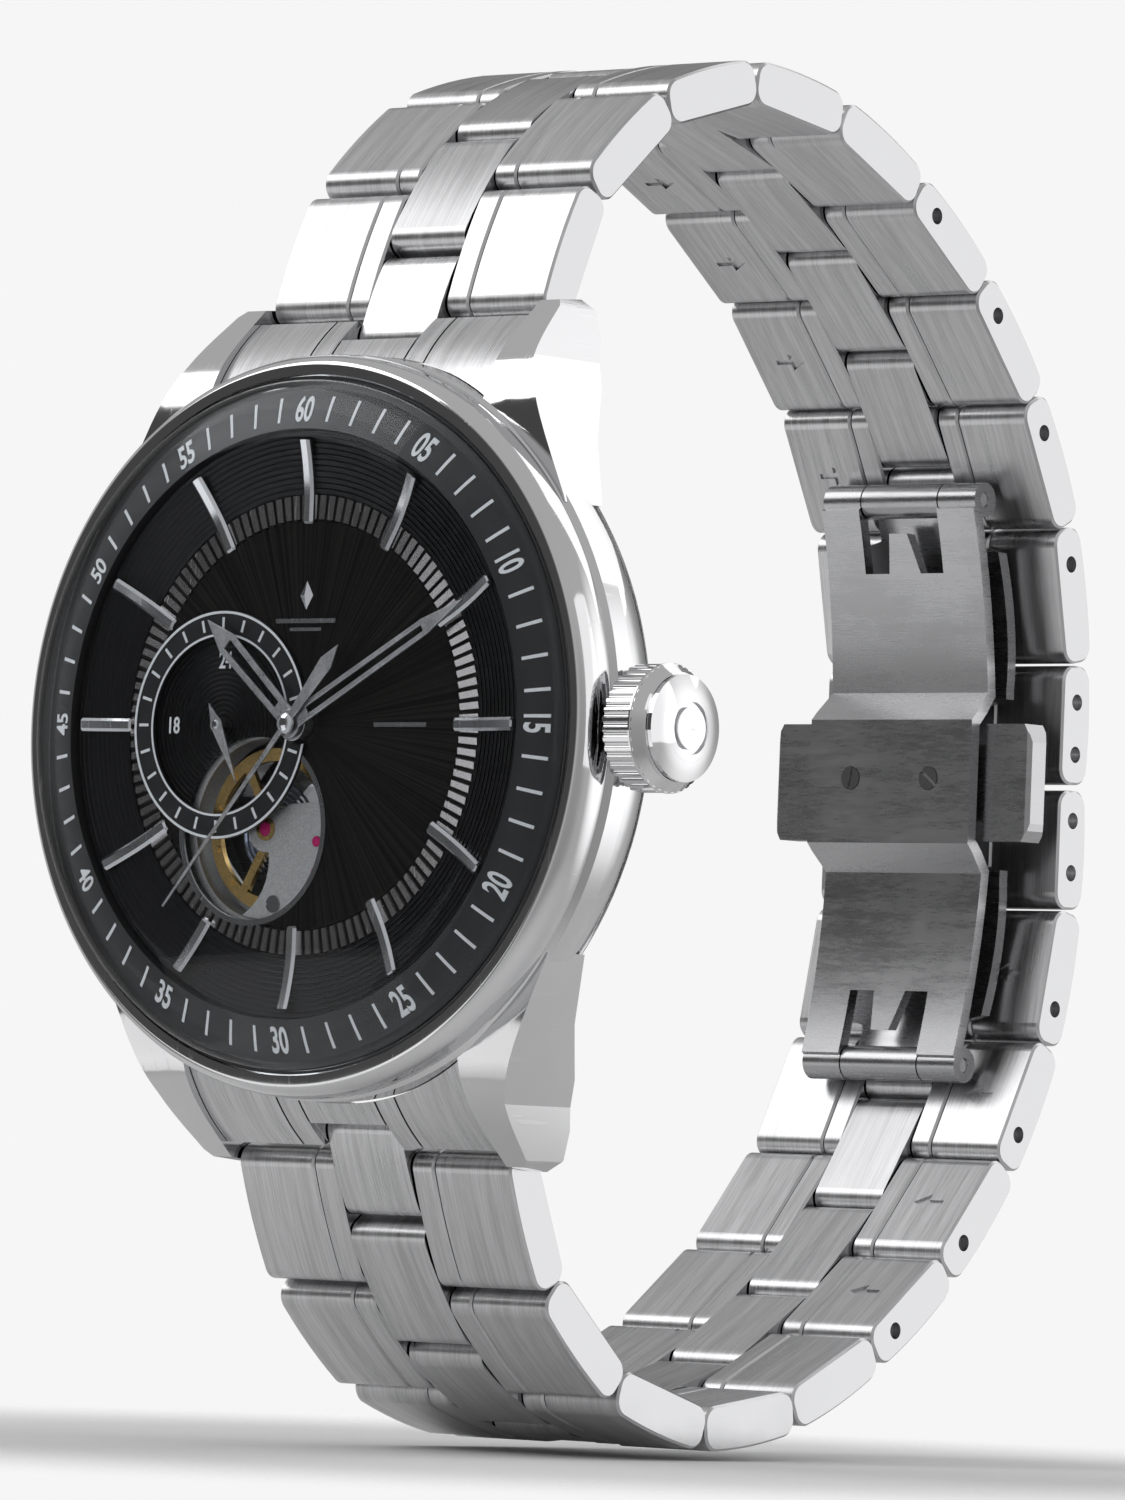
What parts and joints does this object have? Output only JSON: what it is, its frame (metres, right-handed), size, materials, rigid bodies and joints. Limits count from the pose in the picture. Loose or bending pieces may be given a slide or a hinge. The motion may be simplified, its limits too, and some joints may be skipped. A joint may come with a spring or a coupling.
{
  "type": "wristwatch",
  "caption": "Round open-heart automatic wristwatch on a closed tapering steel link bracelet with a folding push-button clasp.",
  "frame": {"origin": "centre of the flat case back", "axes": "-Y out of the dial, +Y from the case back into the bracelet loop, +X to the crown at three o'clock, +Z to twelve o'clock"},
  "size_m": [0.0484, 0.0675, 0.0838],
  "materials": {
    "brushed": "fine brushed along the bracelet",
    "polished": "mirror polish",
    "glass": "clear sapphire",
    "dial_black": "sunburst lacquer",
    "print_white": "printed white",
    "gilt": "gilt brass",
    "frosted": "frosted rhodium",
    "ruby": "synthetic ruby",
    "gasket": "black",
    "plate_steel": "satin stamped steel",
    "blue_steel": "spring steel"
  },
  "bodies": {
    "watch_head": {"case_middle": "polished", "bezel": "polished", "crystal": "glass", "crystal_gasket": "gasket", "dial": "dial_black", "window_rim": "polished", "day_ring": "dial_black", "day_scale": "print_white", "minute_ring": "dial_black", "hour_markers": "polished", "main_plate": "frosted", "casing_ring": "gasket", "hairspring": "blue_steel", "balance_bridge": "frosted", "jewel_setting": "gilt", "jewels": "ruby", "gear_train": "gilt", "rear_bridge": "frosted", "movement_fittings": "polished", "case_back": "plate_steel", "back_glass": "glass", "crown_tube": "polished", "end_links": "brushed", "spring_bars": "plate_steel"},
    "hour": {"hour_hand": "polished"},
    "minute": {"minute_hand": "polished"},
    "seconds": {"seconds_hand": "polished"},
    "day": {"day_hand": "polished"},
    "balance": {"balance_wheel": "gilt"},
    "winding_rotor": {"rotor": "frosted"},
    "sleeve": {"setting_sleeve": "plate_steel"},
    "crown_and_stem": {"crown": "polished", "stem": "plate_steel"},
    "upper_row_01": {"upper_link_01": "brushed"},
    "upper_row_02": {"upper_link_02": "brushed"},
    "upper_row_03": {"upper_link_03": "brushed"},
    "upper_row_04": {"upper_link_04": "brushed"},
    "upper_row_05": {"upper_link_05": "brushed"},
    "upper_row_06": {"upper_link_06": "brushed"},
    "upper_row_07": {"upper_link_07": "brushed"},
    "upper_row_08": {"upper_link_08": "brushed"},
    "upper_row_09": {"upper_link_09": "brushed"},
    "upper_row_10": {"upper_link_10": "brushed"},
    "upper_wing": {"wing_upper": "plate_steel"},
    "clasp_base": {"clasp_plate": "plate_steel", "clasp_catch": "plate_steel", "clasp_fasteners": "polished"},
    "lower_row_01": {"lower_link_01": "brushed"},
    "lower_row_02": {"lower_link_02": "brushed"},
    "lower_row_03": {"lower_link_03": "brushed"},
    "lower_row_04": {"lower_link_04": "brushed"},
    "lower_row_05": {"lower_link_05": "brushed"},
    "lower_row_06": {"lower_link_06": "brushed"},
    "lower_row_07": {"lower_link_07": "brushed"},
    "lower_row_08": {"lower_link_08": "brushed"},
    "lower_row_09": {"lower_link_09": "brushed"},
    "lower_row_10": {"lower_link_10": "brushed"},
    "lower_wing": {"wing_lower": "plate_steel"},
    "left_button": {"button_left": "polished"},
    "right_button": {"button_right": "polished"}
  },
  "joints": [
    {"name": "minute_turn", "type": "hinge", "parent": "watch_head", "child": "minute", "pos_m": [0, -0.00962, 0], "axis": [0, 1, 0], "continuous": true},
    {"name": "hour_turn", "type": "hinge", "parent": "watch_head", "child": "hour", "pos_m": [0, -0.0093, 0], "axis": [0, 1, 0], "continuous": true},
    {"name": "day_turn", "type": "hinge", "parent": "watch_head", "child": "day", "pos_m": [-0.0063, -0.00895, 0], "axis": [0, 1, 0], "continuous": true},
    {"name": "seconds_turn", "type": "hinge", "parent": "watch_head", "child": "seconds", "pos_m": [0, -0.00995, 0], "axis": [0, 1, 0], "continuous": true},
    {"name": "balance_swing", "type": "hinge", "parent": "watch_head", "child": "balance", "pos_m": [-0.003, -0.007, -0.0061], "axis": [0, 1, 0], "range_deg": [-270, 270]},
    {"name": "rotor_turn", "type": "hinge", "parent": "watch_head", "child": "winding_rotor", "pos_m": [0, -0.0025, 0], "axis": [0, 1, 0], "continuous": true},
    {"name": "crown_pull", "type": "slide", "parent": "watch_head", "child": "sleeve", "axis": [1, 0, 0], "range_m": [0, 0.001]},
    {"name": "crown_turn", "type": "hinge", "parent": "sleeve", "child": "crown_and_stem", "pos_m": [0.022, -0.0049, 0], "axis": [1, 0, 0], "continuous": true},
    {"name": "upper_hinge_01", "type": "hinge", "parent": "watch_head", "child": "upper_row_01", "pos_m": [0, 0.001, 0.02662], "axis": [1, 0, 0], "range_deg": [0, 8]},
    {"name": "upper_hinge_02", "type": "hinge", "parent": "upper_row_01", "child": "upper_row_02", "pos_m": [0, 0.00536, 0.03414], "axis": [1, 0, 0], "range_deg": [0, 13]},
    {"name": "upper_hinge_03", "type": "hinge", "parent": "upper_row_02", "child": "upper_row_03", "pos_m": [0, 0.01256, 0.03902], "axis": [1, 0, 0], "range_deg": [0, 12.5]},
    {"name": "upper_hinge_04", "type": "hinge", "parent": "upper_row_03", "child": "upper_row_04", "pos_m": [0, 0.02115, 0.04044], "axis": [1, 0, 0], "range_deg": [0, 12]},
    {"name": "upper_hinge_05", "type": "hinge", "parent": "upper_row_04", "child": "upper_row_05", "pos_m": [0, 0.02966, 0.03853], "axis": [1, 0, 0], "range_deg": [0, 8.5]},
    {"name": "upper_hinge_06", "type": "hinge", "parent": "upper_row_05", "child": "upper_row_06", "pos_m": [0, 0.03738, 0.03443], "axis": [1, 0, 0], "range_deg": [0, 5.5]},
    {"name": "upper_hinge_07", "type": "hinge", "parent": "upper_row_06", "child": "upper_row_07", "pos_m": [0, 0.04414, 0.02889], "axis": [1, 0, 0], "range_deg": [0, 6]},
    {"name": "upper_hinge_08", "type": "hinge", "parent": "upper_row_07", "child": "upper_row_08", "pos_m": [0, 0.04954, 0.02203], "axis": [1, 0, 0], "range_deg": [0, 7]},
    {"name": "upper_hinge_09", "type": "hinge", "parent": "upper_row_08", "child": "upper_row_09", "pos_m": [0, 0.05303, 0.01403], "axis": [1, 0, 0], "range_deg": [0, 8]},
    {"name": "upper_hinge_10", "type": "hinge", "parent": "upper_row_09", "child": "upper_row_10", "pos_m": [0, 0.05436, 0.00539], "axis": [1, 0, 0], "range_deg": [0, 6]},
    {"name": "upper_wing_fold", "type": "hinge", "parent": "upper_row_10", "child": "upper_wing", "pos_m": [0, 0.05436, 0.00209], "axis": [1, 0, 0], "range_deg": [0, 40]},
    {"name": "clasp_fold", "type": "hinge", "parent": "upper_wing", "child": "clasp_base", "pos_m": [0, 0.0485, 0.0178], "axis": [-1, 0, 0], "range_deg": [0, 150]},
    {"name": "lower_hinge_01", "type": "hinge", "parent": "watch_head", "child": "lower_row_01", "pos_m": [0, 0.001, -0.02662], "axis": [-1, 0, 0], "range_deg": [0, 8]},
    {"name": "lower_hinge_02", "type": "hinge", "parent": "lower_row_01", "child": "lower_row_02", "pos_m": [0, 0.00536, -0.03414], "axis": [-1, 0, 0], "range_deg": [0, 13]},
    {"name": "lower_hinge_03", "type": "hinge", "parent": "lower_row_02", "child": "lower_row_03", "pos_m": [0, 0.01256, -0.03902], "axis": [-1, 0, 0], "range_deg": [0, 12.5]},
    {"name": "lower_hinge_04", "type": "hinge", "parent": "lower_row_03", "child": "lower_row_04", "pos_m": [0, 0.02115, -0.04044], "axis": [-1, 0, 0], "range_deg": [0, 12]},
    {"name": "lower_hinge_05", "type": "hinge", "parent": "lower_row_04", "child": "lower_row_05", "pos_m": [0, 0.02966, -0.03853], "axis": [-1, 0, 0], "range_deg": [0, 8.5]},
    {"name": "lower_hinge_06", "type": "hinge", "parent": "lower_row_05", "child": "lower_row_06", "pos_m": [0, 0.03738, -0.03443], "axis": [-1, 0, 0], "range_deg": [0, 5.5]},
    {"name": "lower_hinge_07", "type": "hinge", "parent": "lower_row_06", "child": "lower_row_07", "pos_m": [0, 0.04414, -0.02889], "axis": [-1, 0, 0], "range_deg": [0, 6]},
    {"name": "lower_hinge_08", "type": "hinge", "parent": "lower_row_07", "child": "lower_row_08", "pos_m": [0, 0.04954, -0.02203], "axis": [-1, 0, 0], "range_deg": [0, 7]},
    {"name": "lower_hinge_09", "type": "hinge", "parent": "lower_row_08", "child": "lower_row_09", "pos_m": [0, 0.05303, -0.01403], "axis": [-1, 0, 0], "range_deg": [0, 8]},
    {"name": "lower_hinge_10", "type": "hinge", "parent": "lower_row_09", "child": "lower_row_10", "pos_m": [0, 0.05436, -0.00539], "axis": [-1, 0, 0], "range_deg": [0, 6]},
    {"name": "lower_wing_fold", "type": "hinge", "parent": "lower_row_10", "child": "lower_wing", "pos_m": [0, 0.05436, -0.00209], "axis": [-1, 0, 0], "range_deg": [0, 10]},
    {"name": "left_button_press", "type": "slide", "parent": "clasp_base", "child": "left_button", "axis": [1, 0, 0], "range_m": [0, 0.001], "stiffness_N_per_m": 300},
    {"name": "right_button_press", "type": "slide", "parent": "clasp_base", "child": "right_button", "axis": [-1, 0, 0], "range_m": [0, 0.001], "stiffness_N_per_m": 300}
  ],
  "couplings": [
    {"joint": "hour_turn", "follows": "minute_turn", "ratio": 0.083333},
    {"joint": "day_turn", "follows": "minute_turn", "ratio": 0.041667},
    {"joint": "upper_hinge_02", "follows": "upper_hinge_01", "ratio": 1.625},
    {"joint": "upper_hinge_03", "follows": "upper_hinge_01", "ratio": 1.5625},
    {"joint": "upper_hinge_04", "follows": "upper_hinge_01", "ratio": 1.5},
    {"joint": "upper_hinge_05", "follows": "upper_hinge_01", "ratio": 1.0625},
    {"joint": "upper_hinge_06", "follows": "upper_hinge_01", "ratio": 0.6875},
    {"joint": "upper_hinge_07", "follows": "upper_hinge_01", "ratio": 0.75},
    {"joint": "upper_hinge_08", "follows": "upper_hinge_01", "ratio": 0.875},
    {"joint": "upper_hinge_09", "follows": "upper_hinge_01", "ratio": 1},
    {"joint": "upper_hinge_10", "follows": "upper_hinge_01", "ratio": 0.75},
    {"joint": "upper_wing_fold", "follows": "upper_hinge_01", "ratio": 5},
    {"joint": "clasp_fold", "follows": "upper_hinge_01", "ratio": 18.75},
    {"joint": "lower_hinge_02", "follows": "lower_hinge_01", "ratio": 1.625},
    {"joint": "lower_hinge_03", "follows": "lower_hinge_01", "ratio": 1.5625},
    {"joint": "lower_hinge_04", "follows": "lower_hinge_01", "ratio": 1.5},
    {"joint": "lower_hinge_05", "follows": "lower_hinge_01", "ratio": 1.0625},
    {"joint": "lower_hinge_06", "follows": "lower_hinge_01", "ratio": 0.6875},
    {"joint": "lower_hinge_07", "follows": "lower_hinge_01", "ratio": 0.75},
    {"joint": "lower_hinge_08", "follows": "lower_hinge_01", "ratio": 0.875},
    {"joint": "lower_hinge_09", "follows": "lower_hinge_01", "ratio": 1},
    {"joint": "lower_hinge_10", "follows": "lower_hinge_01", "ratio": 0.75},
    {"joint": "lower_wing_fold", "follows": "lower_hinge_01", "ratio": 1.25}
  ]
}
